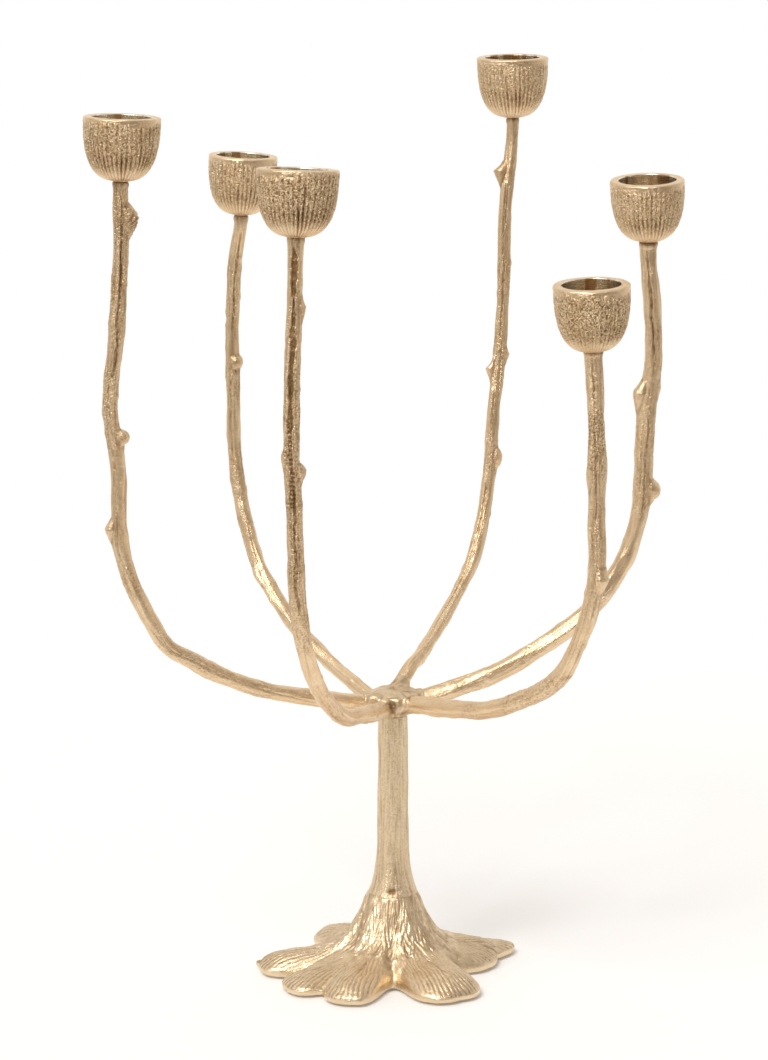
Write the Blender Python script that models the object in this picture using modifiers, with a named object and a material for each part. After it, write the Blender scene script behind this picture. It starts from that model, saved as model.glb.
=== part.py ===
"""Tabletop candelabra: a root-shaped foot, a trunk, a hub and six twig arms that each carry a candle cup.

Lengths are in millimetres up to the point where a mesh is written, which is in metres. +Z is up. An arm's
azimuth is counted from +X towards +Y, and its path lies in the upright plane of that azimuth.
"""
import math

import bmesh
import bpy
from mathutils import Matrix, Vector

MM = 0.001
GAP = 0.3
MERGE = 0.00005

# Candle cups: the bore takes a standard 22 mm dinner candle.
BORE_RADIUS = 12.0
CUP_RADIUS = 15.5
CUP_HEIGHT = 26.0
CUP_FLOOR = 8.0
CUP_BASE_RADIUS = 4.0
CUP_LIP = 0.9
CUP_FULLNESS = 2.6
CUP_CLOSING = 0.335
CUP_SIDES = 24

# M3 countersunk screws, from a cup's floor into its arm.
SCREW_RADIUS = 1.5
SCREW_HOLE_RADIUS = 1.8
SCREW_HEAD_RADIUS = 2.9
SCREW_HEAD_HEIGHT = 1.7
SCREW_REACH = 7.0
SCREW_SIDES = 12
SOCKET_RADIUS = 1.1
SOCKET_DEPTH = 1.1

# Trunk, foot and hub share the axis of the M6 tie rod.
ROD_RADIUS = 3.0
ROD_HOLE_RADIUS = 3.4
ROD_LOW = 4.5
ROD_TOP = 120.0
FOOT_TOP = 35.0
FOOT_TOP_RADIUS = 10.5
TRUNK_TOP = 113.4
TRUNK_RADIUS = 6.4
TRUNK_FLARE = 9.2
HUB_LOW = TRUNK_TOP + GAP
HUB_TOP = 124.2
HUB_RADIUS = 9.8
BOSS_RADIUS = 4.1
BOSS_LENGTH = 5.0
SPIGOT_RADIUS = 1.7
SPIGOT_LENGTH = 5.2
SPIGOT_OVERLAP = 4.0

# Flat washer, split spring washer and M6 nut below the ceiling of the foot's recess.
WASHER_RADIUS = 9.0
SPRING_RADIUS = 5.6
WASHER_THICKNESS = 1.6
NUT_WIDTH = 10.0
NUT_HEIGHT = 5.0

# Foot: a cast root whose toes are low domes on a shared flare.
FOOT_LOW = 1.2
FOOT_RIM = 3.6
FLARE_FALL = 12.2
FOOT_NOTCH_RADIUS = 22.0
RECESS_RADIUS = 13.0
RECESS_TOP = 16.0
FOOT_SIDES = 72
FOOT_BLEND = 4.0
PAD_RADIUS = 4.6
PAD_HEIGHT = FOOT_LOW - GAP

# Each toe: azimuth in degrees, reach, half width, height, and the share of the reach where its tip begins.
TOES = {
    "left": (187, 59.5, 8.6, 11.6, 0.72),
    "left_small": (216, 57.5, 7.6, 8.5, 0.84),
    "front_left": (244, 56.5, 10.2, 11.5, 0.82),
    "front_right": (299, 55.5, 15.2, 12.0, 0.72),
    "right": (22, 57, 15.6, 9.0, 0.50),
    "back_right": (80, 50, 13.5, 10.0, 0.74),
    "back_left": (131, 49, 13.0, 11.0, 0.72),
}
PADDED_TOES = ("left", "front_left", "front_right", "right", "back_right", "back_left")

# Each arm: its azimuth, its cup's rim centre (radius, height), the cup's lean in degrees towards +X and +Y,
# the arm's radius at the hub and under the cup, and the points (radius, height) that it passes, hub to cup.
# A bud is (height, azimuth it points to, reach from the arm's centreline, half width, half height).
ARMS = {
    "left": {
        "azimuth": 195, "rim": (114.0, 372.6), "lean": (1.8, 1.9), "radii": (3.6, 3.1),
        "path": ((11, 119.6), (18.9, 120.5), (40.8, 124.4), (58, 128.8), (75.4, 136.2), (88.2, 143.6),
                 (97.4, 149.6), (105.2, 161.6), (113.4, 180), (117, 195), (117.6, 212), (117.8, 228),
                 (119.6, 241), (120.8, 253), (119.5, 268), (117.8, 282), (116.4, 298), (115.3, 318)),
        "buds": ((331, 0, 4.4, 2.4, 5.2), (240, 0, 4.0, 2.6, 2.8), (201, 180, 3.2, 2.2, 2.4)),
    },
    "back_left": {
        "azimuth": 128, "rim": (105.4, 342.4), "lean": (3.0, 0.8), "radii": (3.4, 2.8),
        "path": ((11, 119.4), (18.5, 120.4), (30, 122.7), (44.3, 126.9), (65.9, 136.6), (80.5, 146.2),
                 (94.5, 159.6), (104, 176), (111.2, 196.2), (114, 213), (114.2, 234), (115, 254),
                 (114.2, 275), (112.4, 294)),
        "buds": ((248, 300, 2.4, 2.2, 2.4), (156, 200, 2.8, 2.0, 2.6)),
    },
    "front_left": {
        "azimuth": 250, "rim": (108.7, 360.9), "lean": (2.0, 4.8), "radii": (3.6, 3.0),
        "path": ((11, 118.5), (22.2, 119), (40.4, 122.2), (58.2, 128), (75.6, 136.7), (91, 149),
                 (103.4, 166.5), (111.4, 188), (113, 208), (115.2, 232), (117.4, 252), (117, 270),
                 (115, 290), (112.8, 318)),
        "buds": ((241, 0, 3.0, 2.0, 3.0), (246, 180, 2.4, 2.0, 2.6), (325, 0, 2.4, 1.8, 2.6)),
    },
    "back_right": {
        "azimuth": 62, "rim": (111.0, 383.4), "lean": (-0.7, 0.3), "radii": (3.2, 2.6),
        "path": ((10, 123.5), (16.6, 129.2), (26.3, 133.6), (46.1, 145), (64.6, 157), (77, 168.2),
                 (86.4, 186.6), (91.4, 206), (94.4, 229), (99, 248), (102, 266), (104.2, 290),
                 (104.6, 310), (106, 324), (110.4, 341)),
        "buds": ((334, 180, 3.4, 2.2, 2.6), (246, 180, 3.0, 1.9, 2.2), (254, 0, 2.8, 2.0, 2.4)),
    },
    "right": {
        "azimuth": 10, "rim": (108.2, 340.4), "lean": (-1.8, -3.4), "radii": (3.7, 3.3),
        "path": ((11, 120.6), (17, 122.1), (32.1, 126.6), (46.1, 130.8), (60, 137.8), (73.9, 146.3),
                 (86.2, 156.9), (97.6, 172.2), (104.2, 187), (107.6, 204), (108.2, 225), (109.6, 243),
                 (111.9, 264), (111.4, 282), (110, 298)),
        "buds": ((248, 200, 3.8, 2.3, 4.6), (258, 350, 3.0, 2.0, 2.6), (207, 0, 3.0, 2.2, 3.4)),
    },
    "front_right": {
        "azimuth": 313, "rim": (114.9, 312.6), "lean": (-2.2, -2.4), "radii": (3.6, 3.3),
        "path": ((11, 120.1), (23, 121.6), (40.5, 123.6), (59.6, 127.5), (78.3, 135.1), (92.2, 142.8),
                 (101.6, 151.6), (109.6, 164.8), (116.6, 181.4), (119.6, 200), (118.9, 219), (119, 240),
                 (117.8, 262)),
        "buds": ((239, 200, 2.6, 2.0, 3.0), (195, 300, 3.0, 2.4, 4.0)),
    },
}
ARM_STEP = 11.0
NECK = 6.0

FINISHES = {
    "cast_metal": ((0.66, 0.50, 0.30), 0.42, 1.0),
    "steel": ((0.55, 0.55, 0.56), 0.35, 1.0),
    "felt": ((0.10, 0.09, 0.08), 0.95, 0.0),
}


# ---- Scene helpers ----------------------------------------------------------------------------------------

def clear_scene():
    for obj in list(bpy.data.objects):
        bpy.data.objects.remove(obj, do_unlink=True)


def new_collection(name):
    collection = bpy.data.collections.new(name)
    bpy.context.scene.collection.children.link(collection)
    return collection


def material_for(name, finish):
    colour, roughness, metallic = FINISHES[finish]
    material = bpy.data.materials.new(name + "_finish")
    material.use_nodes = True
    shader = material.node_tree.nodes["Principled BSDF"]
    shader.inputs["Base Color"].default_value = (*colour, 1.0)
    shader.inputs["Roughness"].default_value = roughness
    shader.inputs["Metallic"].default_value = metallic
    return material


def add_part(name, mesh, finish, placing=None):
    """Put a mesh in the parts collection as a named part that hangs from the root empty."""
    part = bpy.data.objects.new(name, mesh)
    parts.objects.link(part)
    part.parent = root
    if placing is not None:
        part.location = placing.to_translation()
        part.rotation_euler = placing.to_euler()
    mesh.materials.append(material_for(name, finish))
    return part


def add_tool(name, mesh, placing=None):
    """Put a mesh among the shapes that only cut or join other parts."""
    tool = bpy.data.objects.new(name, mesh)
    tools.objects.link(tool)
    tool.parent = root
    tool.hide_render = True
    tool.display_type = "WIRE"
    if placing is not None:
        tool.location = placing.to_translation()
        tool.rotation_euler = placing.to_euler()
    return tool


def boolean(part, tool, operation):
    modifier = part.modifiers.new(operation.lower() + "_" + tool.name, "BOOLEAN")
    modifier.operation = operation
    modifier.object = tool


def smooth(mesh, angle=40):
    mesh.shade_smooth()
    mesh.set_sharp_from_angle(angle=math.radians(angle))


# ---- Shapes -----------------------------------------------------------------------------------------------

def direction(azimuth):
    angle = math.radians(azimuth)
    return Vector((math.cos(angle), math.sin(angle), 0))


def up(height):
    return Vector((0, 0, height))


def turned(name, profile, sides, finish, placing=None, closed=True):
    """Turn a profile of (radius, height) about Z; it runs down its outer side from top to bottom."""
    mesh = bpy.data.meshes.new(name)
    edges = [(i, i + 1) for i in range(len(profile) - 1)]
    if closed:
        edges.append((len(profile) - 1, 0))
    mesh.from_pydata([(radius * MM, 0, height * MM) for radius, height in profile], edges, [])
    part = add_part(name, mesh, finish, placing)
    screw = part.modifiers.new("turn", "SCREW")
    screw.axis = "Z"
    screw.steps = sides
    screw.render_steps = sides
    screw.use_merge_vertices = True
    screw.merge_threshold = MERGE
    screw.use_smooth_shade = True
    return part


def cylinder_between(bm, start, end, radius, sides):
    """Add a closed cylinder to bm, between two points."""
    span = end - start
    middle = (start + end) / 2
    turn = span.to_track_quat("Z", "Y").to_matrix().to_4x4()
    bmesh.ops.create_cone(
        bm, cap_ends=True, segments=sides, radius1=radius * MM, radius2=radius * MM,
        depth=span.length * MM, matrix=Matrix.Translation(middle * MM) @ turn)


def mesh_from(bm, name):
    mesh = bpy.data.meshes.new(name)
    bm.to_mesh(mesh)
    bm.free()
    return mesh


def ring_loft(name, rings):
    """Join rings of points into a closed skin whose last ring meets the first."""
    bm = bmesh.new()
    loops = [[bm.verts.new(point * MM) for point in ring] for ring in rings]
    count = len(rings[0])
    for here, after in zip(loops, loops[1:] + loops[:1]):
        for i in range(count):
            j = (i + 1) % count
            bm.faces.new((here[i], after[i], after[j], here[j]))
    bmesh.ops.recalc_face_normals(bm, faces=bm.faces)
    return mesh_from(bm, name)


def spread(points, step):
    """Points about one step apart on the smooth curve through the given points."""
    ends = [points[0] * 2 - points[1]] + list(points) + [points[-1] * 2 - points[-2]]
    result = []
    for before, here, there, after in zip(ends, ends[1:], ends[2:], ends[3:]):
        pieces = max(1, round((there - here).length / step))
        for i in range(pieces):
            t = i / pieces
            result.append(0.5 * (
                2 * here + (there - before) * t
                + (2 * before - 5 * here + 4 * there - after) * t * t
                + (3 * here - before - 3 * there + after) * t * t * t))
    result.append(points[-1].copy())
    return result


# ---- Candle cups and their screws -------------------------------------------------------------------------

def cup_axis(arm):
    lean_x, lean_y = arm["lean"]
    return Vector((math.tan(math.radians(lean_x)), math.tan(math.radians(lean_y)), 1)).normalized()


def cup_seat(arm):
    """The middle of the cup's underside, where the arm ends."""
    radius, height = arm["rim"]
    return direction(arm["azimuth"]) * radius + up(height) - cup_axis(arm) * CUP_HEIGHT


def cup_placing(arm):
    turn = Vector((0, 0, 1)).rotation_difference(cup_axis(arm)).to_matrix().to_4x4()
    return Matrix.Translation(cup_seat(arm) * MM) @ turn


def cup_outline(share):
    """The cup's outer radius at a share of its height, a tulip that closes quickly at the bottom."""
    return CUP_RADIUS * (1 - (1 - share) ** CUP_FULLNESS) ** CUP_CLOSING


def cup_profile():
    """The cup's wall as one closed loop: down the outside, in to the screw hole and up the bore."""
    shares = (0.93, 0.8, 0.62, 0.46, 0.33, 0.22, 0.13, 0.065, 0.025)
    outside = [(cup_outline(share), share * CUP_HEIGHT) for share in shares]
    countersink = SCREW_HEAD_RADIUS + GAP
    return [
        (CUP_RADIUS - CUP_LIP, CUP_HEIGHT), *outside, (CUP_BASE_RADIUS, 0), (SCREW_HOLE_RADIUS, 0),
        (SCREW_HOLE_RADIUS, CUP_FLOOR - SCREW_HEAD_HEIGHT), (countersink, CUP_FLOOR),
        (BORE_RADIUS, CUP_FLOOR), (BORE_RADIUS, CUP_HEIGHT - CUP_LIP / 2), (BORE_RADIUS + CUP_LIP / 2, CUP_HEIGHT)]


def screw_profile():
    head_top = CUP_FLOOR - GAP
    shoulder = head_top - SCREW_HEAD_HEIGHT
    return [(0, head_top), (SCREW_HEAD_RADIUS - GAP, head_top), (SCREW_RADIUS, shoulder),
            (SCREW_RADIUS, SCREW_RADIUS - SCREW_REACH), (SCREW_RADIUS / 2, -SCREW_REACH), (0, -SCREW_REACH)]


def make_cup(side, arm):
    turned("cup_" + side, cup_profile(), CUP_SIDES, "cast_metal", cup_placing(arm))


def make_cup_screw(side, arm):
    """The screw that holds a cup, with a hexagonal socket in its head."""
    screw = turned("screw_" + side, screw_profile(), SCREW_SIDES, "steel", cup_placing(arm), closed=False)
    bm = bmesh.new()
    head_top = CUP_FLOOR - GAP
    cylinder_between(bm, up(head_top - SOCKET_DEPTH), up(head_top + 1), SOCKET_RADIUS, 6)
    boolean(screw, add_tool("socket_" + side, mesh_from(bm, "socket"), cup_placing(arm)), "DIFFERENCE")


# ---- Arms -------------------------------------------------------------------------------------------------

def arm_controls(arm):
    """The arm's design points in space, from the hub's boss to the cup's underside."""
    out = direction(arm["azimuth"])
    points = [out * radius + up(height) for radius, height in arm["path"]]
    top = cup_seat(arm) - cup_axis(arm) * GAP
    return points + [top - cup_axis(arm) * NECK, top]


def arm_root(arm):
    """The point on the boss's face where the arm starts, and its direction there."""
    start, after = arm_controls(arm)[:2]
    return start, (after - start).normalized()


def nearest_at_height(path, height):
    return min(path[len(path) // 3:], key=lambda point: abs(point.z - height))


def arm_tube(side, arm):
    """The plain tube of an arm, tapering from hub to cup, as a mesh."""
    path = spread(arm_controls(arm), ARM_STEP)
    thick, thin = arm["radii"]
    curve = bpy.data.curves.new("tube_" + side, "CURVE")
    curve.dimensions = "3D"
    curve.bevel_depth = MM
    curve.bevel_resolution = 2
    curve.use_fill_caps = True
    spline = curve.splines.new("POLY")
    spline.points.add(len(path) - 1)
    for i, (point, place) in enumerate(zip(spline.points, path)):
        point.co = (*(place * MM), 1)
        point.radius = thick + (thin - thick) * i / (len(path) - 1)
    guide = bpy.data.objects.new("tube_" + side, curve)
    tools.objects.link(guide)
    graph = bpy.context.evaluated_depsgraph_get()
    mesh = bpy.data.meshes.new_from_object(guide.evaluated_get(graph))
    bpy.data.objects.remove(guide, do_unlink=True)
    bm = bmesh.new()
    bm.from_mesh(mesh)
    bmesh.ops.remove_doubles(bm, verts=bm.verts, dist=MERGE)
    bmesh.ops.recalc_face_normals(bm, faces=bm.faces)
    bm.to_mesh(mesh)
    bm.free()
    smooth(mesh)
    return mesh


def arm_growths(arm):
    """The spigot that enters the hub, and the buds along the arm."""
    bm = bmesh.new()
    start, heading = arm_root(arm)
    cylinder_between(bm, start - heading * SPIGOT_LENGTH, start + heading * SPIGOT_OVERLAP, SPIGOT_RADIUS, 10)
    path = spread(arm_controls(arm), 1)
    for height, azimuth, reach, half_width, half_height in arm["buds"]:
        middle = nearest_at_height(path, height) + direction(azimuth) * reach
        shape = Matrix.Diagonal((half_width * MM, half_width * MM, half_height * MM, 1))
        bmesh.ops.create_uvsphere(
            bm, u_segments=8, v_segments=6, radius=1, matrix=Matrix.Translation(middle * MM) @ shape)
    return mesh_from(bm, "growths")


def make_arm(side, arm):
    part = add_part("arm_" + side, arm_tube(side, arm), "cast_metal")
    boolean(part, add_tool("growths_" + side, arm_growths(arm)), "UNION")
    bm = bmesh.new()
    depth = SCREW_REACH + 1
    cylinder_between(bm, up(-depth), up(2), SCREW_HOLE_RADIUS, 8)
    boolean(part, add_tool("tapping_" + side, mesh_from(bm, "tapping"), cup_placing(arm)), "DIFFERENCE")


# ---- Hub and trunk ----------------------------------------------------------------------------------------

def make_hub():
    """A bark disc with a blind hole for the rod, a boss for each arm and a socket in each boss."""
    edge = 1.6
    profile = [
        (0, HUB_TOP), (HUB_RADIUS - edge, HUB_TOP - 0.4), (HUB_RADIUS, HUB_TOP - edge),
        (HUB_RADIUS, HUB_LOW + 2 * edge), (TRUNK_RADIUS + 1, HUB_LOW), (ROD_HOLE_RADIUS, HUB_LOW),
        (ROD_HOLE_RADIUS, ROD_TOP + GAP), (0, ROD_TOP + GAP)]
    hub = turned("hub", profile, 24, "cast_metal", closed=False)
    sockets = bmesh.new()
    for side, arm in ARMS.items():
        start, heading = arm_root(arm)
        boss = bmesh.new()
        cylinder_between(boss, start - heading * BOSS_LENGTH, start - heading * GAP, BOSS_RADIUS, 12)
        boolean(hub, add_tool("boss_" + side, mesh_from(boss, "boss")), "UNION")
        cylinder_between(sockets, start - heading * (SPIGOT_LENGTH + GAP), start + heading,
                         SPIGOT_RADIUS + GAP, 10)
    boolean(hub, add_tool("hub_sockets", mesh_from(sockets, "hub_sockets")), "DIFFERENCE")


def make_trunk():
    """A bored trunk that flares to the width of the foot's top."""
    low = FOOT_TOP + GAP
    widening = FOOT_TOP_RADIUS - TRUNK_RADIUS
    heights = (TRUNK_TOP, 98, 80, 66, 57, 50, 45, 41, 38, low)
    outside = [(TRUNK_RADIUS + widening * math.exp((low - z) / TRUNK_FLARE), z) for z in heights]
    turned("trunk", [*outside, (ROD_HOLE_RADIUS, low), (ROD_HOLE_RADIUS, TRUNK_TOP)], 20, "cast_metal")


# ---- Foot -------------------------------------------------------------------------------------------------

def toe_half_width(along, reach, half_width, tip_share):
    """Half the toe's width at a distance along it: a narrow neck, a full middle and a rounded tip."""
    tip = reach * tip_share
    if along <= tip:
        return half_width * (0.72 + 0.28 * max(along, 0) / tip)
    return half_width * math.sqrt(max(0.0, 1 - ((along - tip) / (reach - tip)) ** 2))


def foot_reach(azimuth):
    """The foot's outline: the farthest point of any toe in this direction."""
    best = FOOT_NOTCH_RADIUS
    for toe_azimuth, reach, half_width, _, tip_share in TOES.values():
        turn = math.radians(azimuth - toe_azimuth)
        radius = reach
        while radius > best:
            along = radius * math.cos(turn)
            inside = toe_half_width(along, reach, half_width, tip_share)
            if along > 0 and abs(radius * math.sin(turn)) <= inside:
                best = radius
            radius -= 0.25
    return best


def foot_height(azimuth, radius):
    """The top of the casting: the trunk's flare, with each toe's dome laid over it."""
    height = FOOT_TOP * math.exp((FOOT_TOP_RADIUS - radius) / FLARE_FALL)
    for toe_azimuth, reach, half_width, top, tip_share in TOES.values():
        turn = math.radians(azimuth - toe_azimuth)
        along = radius * math.cos(turn)
        across = abs(radius * math.sin(turn))
        half = toe_half_width(along, reach, half_width, tip_share)
        if along <= 0 or half <= across:
            continue
        middle = 0.55 * reach
        fall = max(0.0, (along - middle) / (reach - middle)) ** 3
        ridge = (top - FOOT_RIM) * math.sqrt(max(0.0, 1 - fall))
        dome = FOOT_RIM + ridge * math.sqrt(1 - (across / half) ** 2)
        overlap = max(0.0, 1 - abs(height - dome) / FOOT_BLEND)
        height = max(height, dome) + overlap ** 2 * FOOT_BLEND / 4
    return height


def foot_ring(shape):
    """One closed ring of points, with shape(azimuth) giving its (radius, height)."""
    ring = []
    for i in range(FOOT_SIDES):
        azimuth = 360 * i / FOOT_SIDES
        radius, height = shape(azimuth)
        ring.append(direction(azimuth) * radius + up(height))
    return ring


def make_foot():
    """The root casting: a flare over low toes, flat underneath, with a recess for the nut and a rod hole."""
    outline = {360 * i / FOOT_SIDES: foot_reach(360 * i / FOOT_SIDES) for i in range(FOOT_SIDES)}

    def on_top(share):
        def shape(azimuth):
            radius = FOOT_TOP_RADIUS + (outline[azimuth] - FOOT_TOP_RADIUS) * share
            edge = math.sqrt(1 - share ** 8)
            return radius, FOOT_RIM + (foot_height(azimuth, radius) - FOOT_RIM) * edge
        return shape

    rings = [foot_ring(lambda azimuth: (ROD_HOLE_RADIUS, FOOT_TOP))]
    rings += [foot_ring(on_top(share)) for share in (0, 0.1, 0.2, 0.32, 0.45, 0.58, 0.7, 0.82, 0.92, 1)]
    rings += [
        foot_ring(lambda azimuth: (outline[azimuth] - 0.6, FOOT_LOW)),
        foot_ring(lambda azimuth: (RECESS_RADIUS, FOOT_LOW)),
        foot_ring(lambda azimuth: (RECESS_RADIUS, RECESS_TOP)),
        foot_ring(lambda azimuth: (ROD_HOLE_RADIUS, RECESS_TOP))]
    mesh = ring_loft("foot", rings)
    smooth(mesh)
    add_part("foot", mesh, "cast_metal")


def make_pads():
    """Felt pads under the middles of the larger toes."""
    for name in PADDED_TOES:
        azimuth, reach, _, _, tip_share = TOES[name]
        place = direction(azimuth) * reach * max(tip_share, 0.72)
        disc = [(0, PAD_HEIGHT), (PAD_RADIUS, PAD_HEIGHT), (PAD_RADIUS, 0), (0, 0)]
        turned("pad_" + name, disc, 16, "felt", Matrix.Translation(place * MM), closed=False)


# ---- Tie rod and its fastening ----------------------------------------------------------------------------

def ring_profile(inner, outer, low, high):
    return [(outer, high), (outer, low), (inner, low), (inner, high)]


def make_tie_rod():
    chamfer = 0.8
    profile = [(0, ROD_TOP), (ROD_RADIUS - chamfer, ROD_TOP), (ROD_RADIUS, ROD_TOP - chamfer),
               (ROD_RADIUS, ROD_LOW + chamfer), (ROD_RADIUS - chamfer, ROD_LOW), (0, ROD_LOW)]
    turned("tie_rod", profile, 16, "steel", closed=False)


def make_fastening():
    """A flat washer, a split spring washer and a hex nut, stacked below the recess's ceiling."""
    inner = ROD_RADIUS + GAP
    washer_top = RECESS_TOP - GAP
    washer_low = washer_top - WASHER_THICKNESS
    turned("tie_washer", ring_profile(inner, WASHER_RADIUS, washer_low, washer_top), 24, "steel")
    spring_top = washer_low - GAP
    spring_low = spring_top - WASHER_THICKNESS
    spring = turned("spring_washer", ring_profile(inner, SPRING_RADIUS, spring_low, spring_top), 24, "steel")
    slit = bmesh.new()
    slit_middle = Vector(((inner + SPRING_RADIUS) / 2, 0, (spring_low + spring_top) / 2))
    slit_turn = Matrix.Rotation(math.radians(25), 4, "X")
    slit_size = Matrix.Diagonal((2 * SPRING_RADIUS - 2 * inner, 0.8, 3 * WASHER_THICKNESS, 1))
    bmesh.ops.create_cube(slit, size=MM, matrix=Matrix.Translation(slit_middle * MM) @ slit_turn @ slit_size)
    boolean(spring, add_tool("spring_slit", mesh_from(slit, "spring_slit")), "DIFFERENCE")
    nut_top = spring_low - GAP
    nut_low = nut_top - NUT_HEIGHT
    corner = NUT_WIDTH / 2 / math.cos(math.radians(30))
    body = bmesh.new()
    cylinder_between(body, up(nut_low), up(nut_top), corner, 6)
    nut = add_part("tie_nut", mesh_from(body, "tie_nut"), "steel")
    bore = bmesh.new()
    cylinder_between(bore, up(nut_low - 1), up(nut_top + 1), inner, 16)
    boolean(nut, add_tool("nut_bore", mesh_from(bore, "nut_bore")), "DIFFERENCE")


# ---- Assembly ---------------------------------------------------------------------------------------------

def centre_on_base():
    """Move the root so that the origin is at the bottom centre of everything."""
    graph = bpy.context.evaluated_depsgraph_get()
    corners = []
    for part in parts.objects:
        if part.type == "MESH":
            seen = part.evaluated_get(graph)
            corners += [seen.matrix_world @ vertex.co for vertex in seen.data.vertices]
    for axis in (0, 1):
        values = [corner[axis] for corner in corners]
        root.location[axis] = -(min(values) + max(values)) / 2


clear_scene()
parts = new_collection("candelabra")
tools = new_collection("cutters")
root = bpy.data.objects.new("candelabra_root", None)
parts.objects.link(root)
make_foot()
make_pads()
make_trunk()
make_hub()
make_tie_rod()
make_fastening()
for arm_side, arm_design in ARMS.items():
    make_arm(arm_side, arm_design)
    make_cup(arm_side, arm_design)
    make_cup_screw(arm_side, arm_design)
bpy.context.view_layer.update()
centre_on_base()
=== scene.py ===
import itertools
import math

import bmesh
import bpy
import numpy as np
from mathutils import Euler, Matrix, Vector


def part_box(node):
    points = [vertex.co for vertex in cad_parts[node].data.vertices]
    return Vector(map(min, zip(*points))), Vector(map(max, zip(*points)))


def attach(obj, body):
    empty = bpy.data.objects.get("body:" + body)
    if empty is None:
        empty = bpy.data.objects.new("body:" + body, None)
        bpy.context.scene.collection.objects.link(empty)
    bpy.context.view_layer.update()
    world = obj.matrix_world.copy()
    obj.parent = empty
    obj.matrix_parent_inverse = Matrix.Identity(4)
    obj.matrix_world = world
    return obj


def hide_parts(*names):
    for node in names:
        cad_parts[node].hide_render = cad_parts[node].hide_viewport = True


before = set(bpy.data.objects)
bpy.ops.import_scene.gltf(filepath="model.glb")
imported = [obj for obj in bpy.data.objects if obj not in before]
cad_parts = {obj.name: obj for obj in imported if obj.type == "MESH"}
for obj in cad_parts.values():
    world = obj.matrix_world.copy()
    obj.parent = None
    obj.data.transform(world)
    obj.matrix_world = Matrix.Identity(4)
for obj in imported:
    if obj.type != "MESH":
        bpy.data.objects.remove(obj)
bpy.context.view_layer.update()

MM = 0.001
GAP = 0.3
ROD_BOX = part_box("tie_rod")
AXIS = (ROD_BOX[0] + ROD_BOX[1]) / 2 / MM
AXIS.z = 0

# Candle cups.
BORE_RADIUS = 12.0
CUP_RADIUS = 15.5
CUP_HEIGHT = 26.0
CUP_FLOOR = 8.0
CUP_BASE_RADIUS = 4.0
CUP_FULLNESS = 2.6
CUP_CLOSING = 0.335
SCREW_HEAD_RADIUS = 2.9
SCREW_HEAD_HEIGHT = 1.7
SCREW_HOLE_RADIUS = 1.8
FLUTES = 46
CUP_SIDES = 460
CUP_RINGS = 120

# Trunk, foot and hub.
ROD_HOLE_RADIUS = 3.4
FOOT_TOP = 35.0
FOOT_TOP_RADIUS = 10.5
TRUNK_TOP = 113.4
TRUNK_RADIUS = 6.4
TRUNK_FLARE = 9.2
TRUNK_SIDES = 180
TRUNK_RINGS = 198
# The trunk's pit and the hub's crotch both face this way.
FRONT = 268.0
PIT_HEIGHT = 2.2
PIT_WIDTH = 12.0
HUB_LOW = TRUNK_TOP + GAP
HUB_TOP = 125.0
HUB_RADIUS = 9.8
HUB_SHIFT = 0.8
HUB_VOXEL = 0.3
HUB_SOFTENING = 20
# Each knuckle on the hub: azimuth, reach, height and half sizes.
HUB_LUMPS = (
    (229, 11.2, 121.9, (4.2, 3.4, 3.2)),
    (279, 9.8, 119.6, (2.8, 2.3, 4.0)),
    (318, 11.4, 121.6, (3.6, 3.2, 2.6)),
    (160, 9.4, 121.0, (3.6, 3.4, 2.8)),
    (95, 8.0, 121.4, (3.6, 3.0, 2.6)),
    (30, 9.4, 120.8, (3.4, 3.4, 3.0)),
)
FOOT_LOW = 1.2
FOOT_RIM = 3.6
FLARE_FALL = 12.2
FOOT_NOTCH_RADIUS = 24.0
RECESS_RADIUS = 13.0
RECESS_TOP = 16.0
FOOT_SIDES = 640
FOOT_RINGS = 140
FOOT_BLEND = 9.0
# A small beak on the outline of the left toe, in degrees and millimetres.
CURL_AZIMUTH = 181.0
CURL_REACH = 2.8
CURL_WIDTH = 2.4

# Each toe: azimuth in degrees, reach, half width, height, the share of the reach where its tip begins, and
# how pointed the tip is (0.5 is an ellipse).
TOES = {
    "left": (187, 58.0, 11.0, 10.6, 0.80, 0.5),
    "left_small": (219, 57.5, 11.0, 8.6, 0.84, 0.45),
    "front_left": (247, 57.0, 11.2, 10.8, 0.80, 0.48),
    "front_right": (301, 55.5, 15.4, 11.2, 0.76, 0.38),
    "right": (9, 46.0, 16.0, 9.0, 0.62, 0.5),
    "right_tip": (22.5, 59.0, 9.4, 7.2, 0.72, 0.8),
    "back_right": (80, 50, 13.5, 10.0, 0.74, 0.55),
    "back_left": (126, 51.0, 11.5, 10.4, 0.74, 0.5),
}
NECK_SHARE = 0.72
# Each row of leaves up the flare: where it starts and how long it is, as shares of the climb, and how many
# leaves go round.
LEAF_ROWS = ((-0.05, 0.55, 13), (0.22, 0.6, 12), (0.52, 0.7, 11))

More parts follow.
